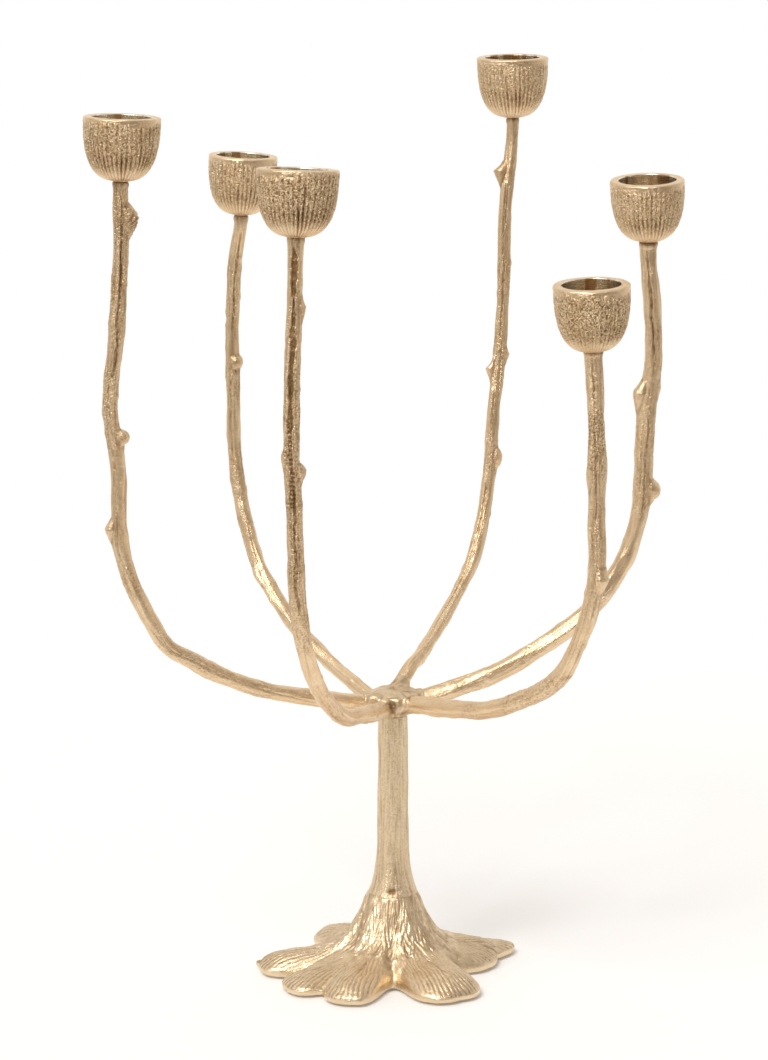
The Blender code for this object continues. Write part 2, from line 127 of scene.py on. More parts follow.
# Each arm: its azimuth, the centre of its cup's rim (radius, height), the cup's lean in degrees towards +X
# and +Y, the arm's radius at the hub and under the cup, how much wider and taller than planned its cup came
# out, how strong the cup's flutes are, how strong the sandy grain on cup and arm is, the points
# (radius, height) that it passes, its buds and its grooves.
# A bud is (height, azimuth it points to, reach from the centreline, half width, half height, roundness).
# Roundness goes from -1 for a beak over 0 for a sloping shoulder to 1 for a ball.
# A groove is (azimuth it faces, lowest height, highest height, depth, half width).
ARMS = {
    "left": {
        "azimuth": 195, "rim": (114.0, 372.6), "lean": (1.8, 1.9), "radii": (3.6, 3.1),
        "cup_size": (1.025, 1.01), "flutes": 1.0, "grain": 1.0,
        "path": ((11, 119.6), (18.9, 120.5), (40.8, 124.4), (58, 128.8), (75.4, 136.2), (88.2, 143.6),
                 (97.4, 149.6), (105.2, 161.6), (113.4, 180), (117, 195), (117.6, 212), (117.8, 228),
                 (119.6, 241), (120.8, 253), (119.5, 268), (117.8, 282), (116.4, 298), (115.3, 318)),
        "buds": ((331, 0, 4.3, 2.6, 4.0, 0.0), (239.5, 0, 4.3, 2.7, 2.6, 1.0),
                 (201.5, 180, 3.8, 2.5, 2.8, -0.35)),
        "grooves": ((280, 262, 343, 0.75, 0.8), (250, 186, 240, 0.5, 0.6)),
    },
    "back_left": {
        "azimuth": 128, "rim": (105.4, 342.4), "lean": (3.0, 0.8), "radii": (3.4, 2.8),
        "cup_size": (0.97, 1.0), "flutes": 0.75, "grain": 0.85,
        "path": ((11, 117.4), (18.5, 118.8), (30, 122.6), (44.3, 127.6), (65.9, 136.6), (80.5, 146.2),
                 (94.5, 159.6), (104, 176), (111.2, 196.2), (114, 213), (114.2, 234), (115, 254),
                 (114.2, 275), (112.4, 294)),
        "buds": ((250, 315, 2.6, 2.4, 2.4, 1.0), (158, 200, 2.0, 2.2, 3.0, 0.3)),
        "grooves": ((285, 262, 312, 0.7, 0.8), (255, 200, 246, 0.5, 0.6)),
    },
    "front_left": {
        "azimuth": 250, "rim": (108.7, 360.9), "lean": (2.0, 4.8), "radii": (3.6, 3.0),
        "cup_size": (1.05, 1.03), "flutes": 0.95, "grain": 1.2,
        "path": ((11, 119.0), (22.2, 119.8), (40.4, 123.2), (58.2, 127.1), (75.6, 136.4), (91, 149),
                 (103.4, 166.5), (111.4, 188), (113, 208), (115.2, 232), (117.4, 252), (117, 270),
                 (115, 290), (112.8, 318)),
        "buds": ((242, 0, 3.3, 2.3, 2.6, 0.45), (247, 180, 2.4, 2.0, 2.6, 0.4),
                 (307.5, 0, 2.6, 1.9, 3.0, -0.6)),
        "grooves": ((262, 224, 333, 1.1, 1.45), (272, 182, 238, 0.8, 0.9)),
    },
    "back_right": {
        "azimuth": 62, "rim": (111.0, 383.4), "lean": (-0.7, 0.3), "radii": (3.0, 2.6),
        "cup_size": (1.0, 1.01), "flutes": 0.7, "grain": 0.6,
        "path": ((7.5, 125.4), (16.6, 131.0), (26.3, 134.4), (46.1, 145), (64.6, 157), (77, 168.2),
                 (86.4, 186.6), (91.4, 206), (94.4, 229), (99, 248), (102, 266), (104.2, 290),
                 (104.6, 310), (106, 324), (110.4, 341)),
        "buds": ((333, 180, 4.2, 2.5, 3.2, -0.65), (247, 180, 3.4, 2.1, 2.8, -0.65),
                 (254, 0, 2.3, 1.9, 2.4, -0.4), (209, 0, 2.9, 2.2, 3.4, 0.6)),
        "grooves": ((268, 262, 330, 0.6, 0.7), (250, 140, 200, 0.6, 0.7)),
    },
    "right": {
        "azimuth": 10, "rim": (108.2, 340.4), "lean": (-1.8, -3.4), "radii": (4.1, 3.7),
        "cup_size": (1.01, 1.01), "flutes": 0.8, "grain": 0.85,
        "path": ((11, 119.6), (17, 120.8), (32.1, 125.4), (46.1, 130.4), (60, 137.8), (73.9, 146.3),
                 (86.2, 156.9), (97.6, 172.2), (104.2, 187), (107.6, 204), (108.2, 225), (109.6, 243),
                 (111.9, 264), (111.4, 282), (110, 298)),
        "buds": ((249, 190, 4.2, 2.6, 3.8, -0.3), (252, 350, 2.6, 2.0, 2.4, -0.5),
                 (208, 0, 4.6, 2.8, 3.0, 0.45)),
        "grooves": ((262, 262, 310, 0.75, 0.8), (280, 196, 244, 0.5, 0.6)),
    },
    "front_right": {
        "azimuth": 313, "rim": (114.9, 312.6), "lean": (-2.2, -2.4), "radii": (3.6, 3.6),
        "cup_size": (1.0, 1.05), "flutes": 0.6, "grain": 1.45,
        "path": ((11, 120.1), (23, 121.6), (40.5, 123.6), (59.6, 127.5), (78.3, 135.1), (92.2, 142.8),
                 (101.6, 151.6), (109.6, 164.8), (116.6, 181.4), (119.6, 200), (118.9, 219), (119, 240),
                 (117.8, 262)),
        "buds": ((235, 200, 2.2, 2.0, 3.0, 0.4), (194, 314, 3.6, 2.8, 3.2, -0.45),
                 (148, 313, 1.6, 2.6, 4.0, 0.5)),
        "grooves": ((262, 215, 282, 0.6, 0.7), (295, 150, 190, 0.4, 0.5)),
    },
}
NECK = 6.0
ARM_STEP = 0.5
RUNG_PITCH = 1.8
ARM_SIDES = 96
ARM_SUNK = 6.0
# The radius at which an arm's noise is laid out.
ARM_ROUND = 3.3
KNOT_SPACING = 7.5
SWELLING_SPACING = 55.0

# The camera stands in front of the trunk's axis and looks down a little. Its lens is given for a 36 mm frame.
CAMERA_PLACE = (-3.8, -1690.0, 570.0)
CAMERA_PITCH = 12.54
CAMERA_LENS = 139.25

# The floor is a round table top, in metres. Beyond it the camera sees the white room.
FLOOR_RADIUS = 0.55
FLOOR_GLOW = 0.08

# The key light: where it stands, how strong it is and how wide it looks, in degrees.
KEY_AZIMUTH = 240.0
KEY_ELEVATION = 50.0
KEY_STRENGTH = 1.95
KEY_SPREAD = 26.0

# The room's light: its dark, and each bright region as (direction, cosine where it starts, cosine where it
# is full, strength).
ROOM_DARK = 0.21
ROOM_DARK_COLOUR = (1.0, 0.80, 0.58)
ROOM_GLOWS = (
    ((0, 1, 0.0), 0.05, 0.65, 0.74),
    ((-0.90, -0.30, 0.25), 0.72, 0.95, 0.52),
    ((0.95, -0.15, 0.2), 0.80, 0.95, 0.44),
    ((-0.1, -0.3, 0.95), 0.45, 0.92, 0.40),
)

# The metal's colours: the root and the twigs, each where it is light and where it is dull, then the painted
# shade in the pits of sandy skin and the painted shade at the bottoms of creases.
ROOT_GOLD = ((0.88, 0.72, 0.51), (0.83, 0.665, 0.45))
TWIG_GOLD = ((0.90, 0.71, 0.48), (0.84, 0.635, 0.405))
PIT_SHADE_COLOUR = (0.42, 0.27, 0.12)
CREASE_SHADE_COLOUR = (0.26, 0.15, 0.06)

# Where the seeds of each piece's noise start.
ARM_SEED = 100
TRUNK_SEED = 300
HUB_SEED = 400
VEIN_SEED = 500
LEAF_SEED = 600
CUP_SEED = 700
NOISE_CELLS = 8192
# The noise's grid is turned askew, so that its cells never line up with a piece.
NOISE_TURN = np.array(Euler((0.61, 0.83, 0.37)).to_matrix())


# ---- Numbers ----

def clamp(value):
    return np.clip(value, 0, 1)


def smoothstep(low, high, value):
    t = clamp((value - low) / (high - low))
    return t * t * (3 - 2 * t)


def bell(value, width):
    """A smooth hump, 1 at zero and near 0 two widths away."""
    return np.exp(-(value / width) ** 2)


def noise(points, size, seed):
    """Smooth noise between -1 and 1 at an array of points; its lumps are about size across."""
    table = np.random.default_rng(seed).uniform(-1, 1, NOISE_CELLS)
    cell = np.asarray(points, float) @ NOISE_TURN / size
    base = np.floor(cell).astype(np.int64)
    part = cell - base
    part = part * part * (3 - 2 * part)
    total = np.zeros(cell.shape[:-1])
    for corner in itertools.product((0, 1), repeat=3):
        spot = base + np.array(corner)
        key = (spot[..., 0] * 73856093) ^ (spot[..., 1] * 19349663) ^ (spot[..., 2] * 83492791)
        share = np.prod(np.where(np.array(corner), part, 1 - part), axis=-1)
        total += share * table[key % NOISE_CELLS]
    return total


def direction(azimuth):
    angle = math.radians(azimuth)
    return np.array((math.cos(angle), math.sin(angle), 0.0))


def unit(vectors):
    return vectors / np.linalg.norm(vectors, axis=-1, keepdims=True)


def spread(points, step):
    """Points about one step apart on the smooth curve through the given points."""
    ends = [points[0] * 2 - points[1]] + list(points) + [points[-1] * 2 - points[-2]]
    result = []
    for before, here, there, after in zip(ends, ends[1:], ends[2:], ends[3:]):
        pieces = max(1, round(np.linalg.norm(there - here) / step))
        for i in range(pieces):
            t = i / pieces
            result.append(0.5 * (
                2 * here + (there - before) * t
                + (2 * before - 5 * here + 4 * there - after) * t * t
                + (3 * here - before - 3 * there + after) * t * t * t))
    result.append(points[-1])
    return np.array(result)


def turns(count):
    """Angles once round, in radians."""
    return np.arange(count) * math.tau / count


def turn_apart(angles, azimuth):
    """How many degrees each angle, in radians, is away from an azimuth in degrees."""
    return np.degrees(np.arccos(np.clip(np.cos(angles - math.radians(azimuth)), -1, 1)))


def round_axis(radius, angles, height):
    """Points at a radius, an angle and a height; each may be an array or one number."""
    radius, angles, height = np.broadcast_arrays(radius, angles, height)
    return np.stack([radius * np.cos(angles), radius * np.sin(angles), height], axis=-1)


def lengths_along(points):
    """How far along the line through the points each of them is."""
    return np.concatenate([[0], np.cumsum(np.linalg.norm(np.diff(points, axis=0), axis=1))])


# ---- Meshes ----

def ring_faces(count, sides, closed=False):
    """Quads between neighbouring rings of points, and from the last ring to the first if closed."""
    row, side = np.meshgrid(np.arange(count if closed else count - 1), np.arange(sides), indexing="ij")
    after = (row + 1) % count
    beside = (side + 1) % sides
    return np.stack([row * sides + side, row * sides + beside, after * sides + beside, after * sides + side],
                    axis=-1).reshape(-1, 4).tolist()


def add_object(name, data):
    thing = bpy.data.objects.new(name, data)
    bpy.context.scene.collection.objects.link(thing)
    return thing


def add_piece(name, points, faces, materials, crease_shade, sandy, face_materials=None):
    """Put a mesh in the scene as a smooth piece.

    The first mask says how deep in a crease each point is, which sets how much painted shade it gets, and
    sandy how grainy the skin is there, both 0 to 1.
    """
    mesh = bpy.data.meshes.new(name)
    mesh.from_pydata(((np.asarray(points, float) + np.array(AXIS)) * MM).tolist(), [], faces)
    bm = bmesh.new()
    bm.from_mesh(mesh)
    bmesh.ops.recalc_face_normals(bm, faces=bm.faces)
    bm.to_mesh(mesh)
    bm.free()
    for material in materials:
        mesh.materials.append(material)
    for key, values in (("crease_shade", crease_shade), ("sandy", sandy)):
        values = clamp(values) * np.ones(len(mesh.vertices)).reshape(np.shape(crease_shade))
        layer = mesh.attributes.new(key, "FLOAT", "POINT")
        layer.data.foreach_set("value", values.astype(np.float32).ravel())
    if face_materials is not None:
        mesh.polygons.foreach_set("material_index", face_materials)
    mesh.shade_smooth()
    return add_object(name, mesh)


def settle(piece, node):
    """Say where a piece belongs in the frame."""
    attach(piece, "root")
    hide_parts(node)


# ---- Materials ----

def set_range(node, *numbers):
    for key, number in zip(("From Min", "From Max", "To Min", "To Max"), numbers):
        node.inputs[key].default_value = number


class Nodes:
    """A short way to write a material's node tree."""

    def __init__(self, name, metallic=0.0):
        self.material = bpy.data.materials.new(name)
        self.material.use_nodes = True
        self.tree = self.material.node_tree
        self.shader = self.tree.nodes["Principled BSDF"]
        self.shader.inputs["Metallic"].default_value = metallic
        self.place = self.add("ShaderNodeTexCoord").outputs["Object"]

    def add(self, kind, **settings):
        node = self.tree.nodes.new(kind)
        for key, value in settings.items():
            setattr(node, key, value)
        return node

    def join(self, source, target):
        self.tree.links.new(source, target)

    def noise(self, scale, detail=3.0, stretch=None):
        """Noise from 0 to 1; stretch scales the place along X, Y and Z first."""
        texture = self.add("ShaderNodeTexNoise")
        texture.inputs["Scale"].default_value = scale
        texture.inputs["Detail"].default_value = detail
        place = self.place
        if stretch is not None:
            mapping = self.add("ShaderNodeMapping")
            mapping.inputs["Scale"].default_value = stretch
            self.join(place, mapping.inputs["Vector"])
            place = mapping.outputs["Vector"]
        self.join(place, texture.inputs["Vector"])
        return texture.outputs["Fac"]

    def range(self, value, low, high, new_low, new_high):
        node = self.add("ShaderNodeMapRange")
        set_range(node, low, high, new_low, new_high)
        self.join(value, node.inputs["Value"])
        return node.outputs["Result"]

    def math(self, operation, first, second):
        node = self.add("ShaderNodeMath", operation=operation, use_clamp=True)
        self.join(first, node.inputs[0])
        if isinstance(second, float):
            node.inputs[1].default_value = second
        else:
            self.join(second, node.inputs[1])
        return node.outputs["Value"]

    def mix(self, share, first, second):
        """Blend two colours, each a tuple or a socket."""
        node = self.add("ShaderNodeMix", data_type="RGBA")
        self.join(share, node.inputs["Factor"])
        for key, colour in (("A", first), ("B", second)):
            socket = [s for s in node.inputs if s.name == key and s.type == "RGBA"][0]
            if isinstance(colour, tuple):
                socket.default_value = (*colour, 1.0)
            else:
                self.join(colour, socket)
        return [s for s in node.outputs if s.type == "RGBA"][0]

    def attribute(self, name):
        return self.add("ShaderNodeAttribute", attribute_name=name).outputs["Fac"]

    def bump(self, height, distance, before=None):
        node = self.add("ShaderNodeBump")
        node.inputs["Distance"].default_value = distance
        self.join(height, node.inputs["Height"])
        if before is not None:
            self.join(before, node.inputs["Normal"])
        return node.outputs["Normal"]

    def finish(self, colour, roughness, normal=None):
        self.join(colour, self.shader.inputs["Base Color"])
        self.join(roughness, self.shader.inputs["Roughness"])
        if normal is not None:
            self.join(normal, self.shader.inputs["Normal"])
        return self.material


def cast_metal(name, light, shade):
    """Satin champagne-gold casting, grainy where it was left sandy, with painted shade, a dark brown, in its
    creases and in the pits of its grain.
    """
    nodes = Nodes(name, metallic=1.0)
    crease_shade = nodes.attribute("crease_shade")
    sandy = nodes.attribute("sandy")
    tone = nodes.mix(nodes.range(nodes.noise(110.0, 3.0), 0.35, 0.65, 0, 1), light, shade)
    grains = nodes.noise(1500.0, 2.0)
    # Painted shade in the pits of the sandy grain: darker specks where the grain's bump is low.
    pit_shade = nodes.math("MULTIPLY", nodes.range(grains, 0.52, 0.38, 0.0, 1.1), sandy)
    tone = nodes.mix(pit_shade, tone, PIT_SHADE_COLOUR)
    # Painted shade: the dark brown goes in by how deep in a crease each point lies.
    colour = nodes.mix(nodes.range(crease_shade, 0, 1, 0, 0.92), tone, CREASE_SHADE_COLOUR)
    rough = nodes.range(nodes.noise(420.0, 4.0), 0.3, 0.7, 0.27, 0.42)
    worn = nodes.math("ADD", rough, nodes.math("MULTIPLY", crease_shade, 0.2))
    sand = nodes.bump(nodes.math("MULTIPLY", grains, sandy), 0.0012)
    fine = nodes.bump(nodes.noise(2200.0, 2.0), 0.00016, sand)
    return nodes.finish(colour, worn, fine)


def turned_metal():
    """The bore of a cup: the same gold, turned smooth, with rings from the tool and bands of painted
    reflection, light and dark, down its wall.
    """
    nodes = Nodes("turned_gold", metallic=1.0)
    rings = nodes.noise(60.0, 2.0, stretch=(1, 1, 60))
    reflection_bands = nodes.noise(210.0, 1.0, stretch=(1, 1, 0.05))
    # Painted reflection: light and dark bands down the bore's wall.
    colour = nodes.mix(nodes.range(reflection_bands, 0.49, 0.57, 0, 1), (1.0, 0.93, 0.79), (0.60, 0.42, 0.26))
    rough = nodes.range(rings, 0.3, 0.7, 0.20, 0.30)
    return nodes.finish(colour, rough, nodes.bump(rings, 0.00002))


def steel():
    nodes = Nodes("brushed_steel", metallic=1.0)
    brushing = nodes.noise(900.0, 3.0, stretch=(1, 1, 0.1))
    stains = nodes.noise(160.0, 3.0)
    colour = nodes.mix(nodes.range(stains, 0.35, 0.7, 0, 1), (0.62, 0.62, 0.63), (0.46, 0.46, 0.46))
    rough = nodes.range(brushing, 0.3, 0.7, 0.26, 0.42)
    return nodes.finish(colour, rough, nodes.bump(brushing, 0.00004))


def felt():
    nodes = Nodes("brown_felt")
    nodes.shader.inputs["Sheen Weight"].default_value = 0.4
    fibres = nodes.noise(1500.0, 4.0)
    clumps = nodes.noise(300.0, 3.0)
    colour = nodes.mix(nodes.range(clumps, 0.35, 0.65, 0, 1), (0.075, 0.055, 0.04), (0.12, 0.095, 0.07))
    rough = nodes.range(fibres, 0.3, 0.7, 0.85, 1.0)
    return nodes.finish(colour, rough, nodes.bump(fibres, 0.0003))


# ---- Cups ----

def cup_axis(arm):
    lean_x, lean_y = arm["lean"]
    return unit(np.array((math.tan(math.radians(lean_x)), math.tan(math.radians(lean_y)), 1.0)))


def cup_seat(arm):
    """The middle of the cup's underside."""
    radius, height = arm["rim"]
    return direction(arm["azimuth"]) * radius + np.array((0, 0, height)) - cup_axis(arm) * CUP_HEIGHT


def cup_turn(arm):
    """The 3 x 3 turn that leans a cup."""
    return np.array(Vector((0, 0, 1)).rotation_difference(Vector(cup_axis(arm))).to_matrix())


def cup_outline(share):
    """The cup's outer radius at a share of its height, a tulip that closes quickly at the bottom."""
    return CUP_RADIUS * (1 - (1 - share) ** CUP_FULLNESS) ** CUP_CLOSING


def cup_outside():
    """Points (radius, height) up the outside, about equally far apart."""
    shares = np.concatenate([np.linspace(0.002, 0.12, 200), np.linspace(0.12, 0.975, 300)[1:]])
    points = np.stack([np.maximum(cup_outline(shares), CUP_BASE_RADIUS), shares * CUP_HEIGHT], axis=1)
    lengths = lengths_along(points)
    even = np.linspace(0, lengths[-1], CUP_RINGS)
    return np.stack([np.interp(even, lengths, points[:, i]) for i in (0, 1)], axis=1)


def cup_rim():
    """The rounded rim, from the outside over the top to the edge of the bore."""
    outer = CUP_RADIUS - 0.05
    points = [(outer - 0.15, CUP_HEIGHT - 0.35), (outer - 0.45, CUP_HEIGHT - 0.1), (outer - 0.95, CUP_HEIGHT)]
    points += [(radius, CUP_HEIGHT) for radius in np.linspace(outer - 1.5, BORE_RADIUS + 0.5, 5)]
    return points + [(BORE_RADIUS + 0.2, CUP_HEIGHT - 0.08), (BORE_RADIUS, CUP_HEIGHT - 0.3)]


def cup_bore():
    """Down the bore, over the floor and its countersink, to the screw's hole and out underneath."""
    points = [(BORE_RADIUS, height) for height in np.linspace(CUP_HEIGHT - 0.6, CUP_FLOOR + 0.8, 14)]
    points += [(BORE_RADIUS - 0.2, CUP_FLOOR + 0.25), (BORE_RADIUS - 0.8, CUP_FLOOR)]
    points += [(radius, CUP_FLOOR) for radius in np.linspace(BORE_RADIUS - 1.4, SCREW_HEAD_RADIUS + 0.5, 8)]
    points += [(SCREW_HEAD_RADIUS + GAP, CUP_FLOOR - 0.1), (SCREW_HOLE_RADIUS, CUP_FLOOR - SCREW_HEAD_HEIGHT),
               (SCREW_HOLE_RADIUS, 0)]
    return points


def cup_relief(angles, heights, lengths, flutes, grain, seed):
    """How far a cup's outside stands proud of its outline, how much painted shade it gets in its flutes and
    pits, and how sandy it is.
    """
    share = heights / CUP_HEIGHT
    around = round_axis(CUP_RADIUS, angles, lengths)
    sway = noise(around, 9, seed) + 0.4 * noise(around * (1, 1, 0.4), 3, seed + 1)
    phase = FLUTES * angles + 1.5 * sway
    strong = np.clip(0.95 + 0.5 * noise(around * (1, 1, 0.12), 3.5, seed + 10), 0.65, 1.35)
    groove = (1 - np.abs(np.sin(phase / 2)) ** 0.8) * strong * flutes
    low = 1 - smoothstep(0.30, 0.60, share)
    ragged = share + 0.05 * sway + 0.04 * noise(around * (1, 1, 0.3), 1.6, seed + 8)
    middle = smoothstep(0.06, 0.36, share) * (1 - smoothstep(0.84, 0.96, ragged))
    broken = np.clip(0.8 + 0.7 * noise(around * (1, 1, 0.3), 1.4, seed + 2), 0.25, 1.25)
    cut = groove * (0.54 * low + 0.52 * middle * broken)
    pits = grain * middle * clamp(noise(around * (1, 1, 0.8), 0.7, seed + 3) - 0.15)
    sand = noise(around, 0.7, seed + 4) * (0.01 + 0.10 * middle)
    wrinkles = noise(around * (0.4, 0.4, 1.6), 1.6, seed + 5) + noise(around * (1, 1, 1.6), 5, seed + 9)
    rim = smoothstep(0.80, 0.92, share) * 0.16 * wrinkles
    facing = 0.14 * noise(around, 12, seed + 6)
    lift = facing + rim + sand - cut - 0.3 * pits
    # Painted shade in the flutes and pits, less where the sand stands proud.
    crease_shade = groove * (0.58 * low + 0.55 * middle * broken) + 0.7 * pits - 1.2 * sand
    return lift, clamp(crease_shade - 0.06), 0.16 + 0.66 * middle * grain


def make_cup(side, arm, cast, turned, seed):
    outside = cup_outside()
    rim = cup_rim()
    inside = np.array(rim + cup_bore())
    profile = np.concatenate([outside, inside])
    angles = turns(CUP_SIDES)
    radius, around = np.meshgrid(profile[:, 0], angles, indexing="ij")
    height = np.repeat(profile[:, 1][:, None], CUP_SIDES, axis=1)
    lengths = lengths_along(profile)[:, None] * np.ones(CUP_SIDES)
    lift, crease_shade, sandy = cup_relief(around, height, lengths, arm["flutes"], arm["grain"], seed)
    out = len(outside)
    fade = np.concatenate([smoothstep(0, 3, np.arange(out)), np.zeros(len(inside))])[:, None]
    slope = np.gradient(profile, axis=0)
    normal = unit(np.stack([slope[:, 1], -slope[:, 0]], axis=1) + 1e-9)
    radius = radius + lift * fade * normal[:, :1]
    height = height + lift * fade * normal[:, 1:]
    crease_shade = crease_shade * fade
    top = slice(out, out + len(rim))
    spots = round_axis(CUP_RADIUS, around[top], radius[top])
    height[top] -= 0.10 * np.abs(noise(spots, 6, seed + 7)) * smoothstep(0, 2, radius[top] - BORE_RADIUS)
    wide, tall = arm["cup_size"]
    local = round_axis(radius, around, height).reshape(-1, 3)
    local = (local - (0, 0, CUP_HEIGHT)) * (wide, wide, tall) + (0, 0, CUP_HEIGHT)
    points = local @ cup_turn(arm).T + cup_seat(arm)
    faces = ring_faces(len(profile), CUP_SIDES, closed=True)
    bands = np.repeat(np.arange(len(profile)) >= out + len(rim) - 2, CUP_SIDES).astype(int)
    piece = add_piece("tulip_cup_" + side, points, faces, [cast, turned], crease_shade, sandy, bands)
    settle(piece, "cup_" + side)


# ---- Arms ----

def arm_controls(arm):
    """The arm's design points, from inside the hub to the cup's underside."""
    out = direction(arm["azimuth"])
    points = [out * radius + np.array((0, 0, height)) for radius, height in arm["path"]]
    heading = unit(points[1] - points[0])
    top = cup_seat(arm)
    return [points[0] - heading * ARM_SUNK] + points + [top - cup_axis(arm) * NECK, top]


def arm_frame(path, azimuth):
    """Directions across and out from each point of an arm."""
    along = unit(np.gradient(path, axis=0))
    across = direction(azimuth + 90) * np.ones((len(path), 1))
    across = unit(across - along * np.sum(along * across, axis=1, keepdims=True))
    return across, np.cross(across, along)


def arm_bud(bud, path, lengths, spokes, radius):
    """How far a bud lifts the skin, how much painted shade lies in the grooves between its ribs, and how much
    of each point belongs to it.
    """
    height, azimuth, reach, half_width, half_height, roundness = bud
    ball_share = max(0, roundness)
    beak_share = max(0, -roundness)
    third = len(path) // 3
    at = third + int(np.argmin(np.abs(path[third:, 2] - height)))
    facing = np.arccos(np.clip(spokes @ direction(azimuth), -1, 1))
    turned = np.sign(spokes @ direction(azimuth + 90)) * facing
    rise = (lengths - lengths[at])[:, None]
    above = np.clip(rise, 0, None) / (half_height * 1.15)
    below = np.clip(-rise, 0, None) / (half_height * 2.4)
    shoulder = (1.6 - np.sqrt(above ** 2 + 0.36)) / (1.6 - 0.6)
    taper = 1 - below ** 1.5
    ball = np.sqrt(np.clip(1 - (rise / (half_height * 1.25)) ** 2, 0, None))
    hooked_top = clamp(1 - 0.75 * above) ** 1.9
    hooked_foot = clamp(1 - 1.15 * below) ** 1.15
    beak = np.where(rise > 0, hooked_top, hooked_foot)
    along = np.where(rise > 0, shoulder, taper)
    along = along + ball_share * (np.maximum(ball, 0.35 * along) - along)
    along = along + beak_share * (beak - along)
    narrow = (1 - 0.45 * clamp(below)) * (1 - 0.2 * beak_share)
    beside = facing * radius / (half_width * 1.35 * narrow)
    dome = clamp(along) * np.clip(1 - beside ** 2, 0, None) ** 0.6
    proud = reach + half_width - radius
    big = smoothstep(1.2, 2.4, proud) * max(0, 1 - 2.5 * abs(roundness))
    fan = np.cos(np.arctan2(5.0 - np.abs(turned) * radius, rise + 7.0) * math.tau / 0.15)
    ribs = big * clamp(dome * 1.4 - 0.2) * (1 - smoothstep(0.5, 0.9, above))
    lip = bell(rise - 0.3, 0.6) * clamp(1 - beside ** 2)
    shape = proud * dome + 0.36 * ribs * fan + 0.12 * big * lip
    # The second value is painted shade in the grooves between the ribs.
    return shape, 0.9 * ribs * clamp(-fan), clamp(dome)


def arm_groove(groove, path, spokes, radius, spots, seed):
    """How deep a split in the bark is: it wanders, and a wide one has rungs in its lower end."""
    azimuth, low, high, depth, half_width = groove
    height = path[:, 2][:, None]
    line = spots * (0, 0, 1)
    wander = 0.22 * noise(line, 9, seed) + 0.10 * noise(line, 3, seed + 1)
    across = spokes @ direction(azimuth + 90)
    ahead = spokes @ direction(azimuth)
    angle = np.arctan2(across, ahead) - wander
    width = half_width * (0.75 + 0.55 * noise(line, 6, seed + 2))
    ragged = np.abs(angle) * radius / np.maximum(width, 0.15)
    ragged = ragged + 0.35 * noise(spots * (0.5, 0.5, 1), 1.3, seed + 4)
    inside = 1 - smoothstep(0.8, 1.1, ragged)
    ends = smoothstep(low, low + 5, height) * (1 - smoothstep(high - 5, high, height))
    wide = smoothstep(1.2, 1.4, half_width) * (1 - smoothstep(low + 25, low + 50, height))
    rungs = 1 - 0.55 * wide * (0.5 + 0.5 * np.cos(math.tau * height / RUNG_PITCH + 0.8 * across))
    return depth * inside * ends * rungs * (0.75 + 0.25 * noise(spots, 1.2, seed + 3))


def arm_knots(lengths, angles, seed):
    """Small lumps and swollen rings scattered along an arm."""
    rng = np.random.default_rng(seed)
    lift = np.zeros((len(lengths), len(angles)))
    for start in np.arange(10, lengths[-1] - 12, KNOT_SPACING):
        at = start + rng.uniform(-3, 3)
        facing = rng.uniform(-math.pi, math.pi)
        size = rng.uniform(0.10, 0.42)
        long, wide = rng.uniform(1.2, 3.4), rng.uniform(0.5, 1.1)
        turn = np.abs((angles - facing + math.pi) % math.tau - math.pi)
        lift += size * bell(lengths - at, long)[:, None] * bell(turn, wide)[None, :]
    for start in np.arange(24, lengths[-1] - 14, SWELLING_SPACING):
        at = start + rng.uniform(-12, 12)
        lean = rng.uniform(-0.8, 0.8)
        place = (lengths - at)[:, None] + lean * np.cos(angles + at)[None, :]
        lift += rng.uniform(0.08, 0.2) * bell(place, 1.8)
    return lift


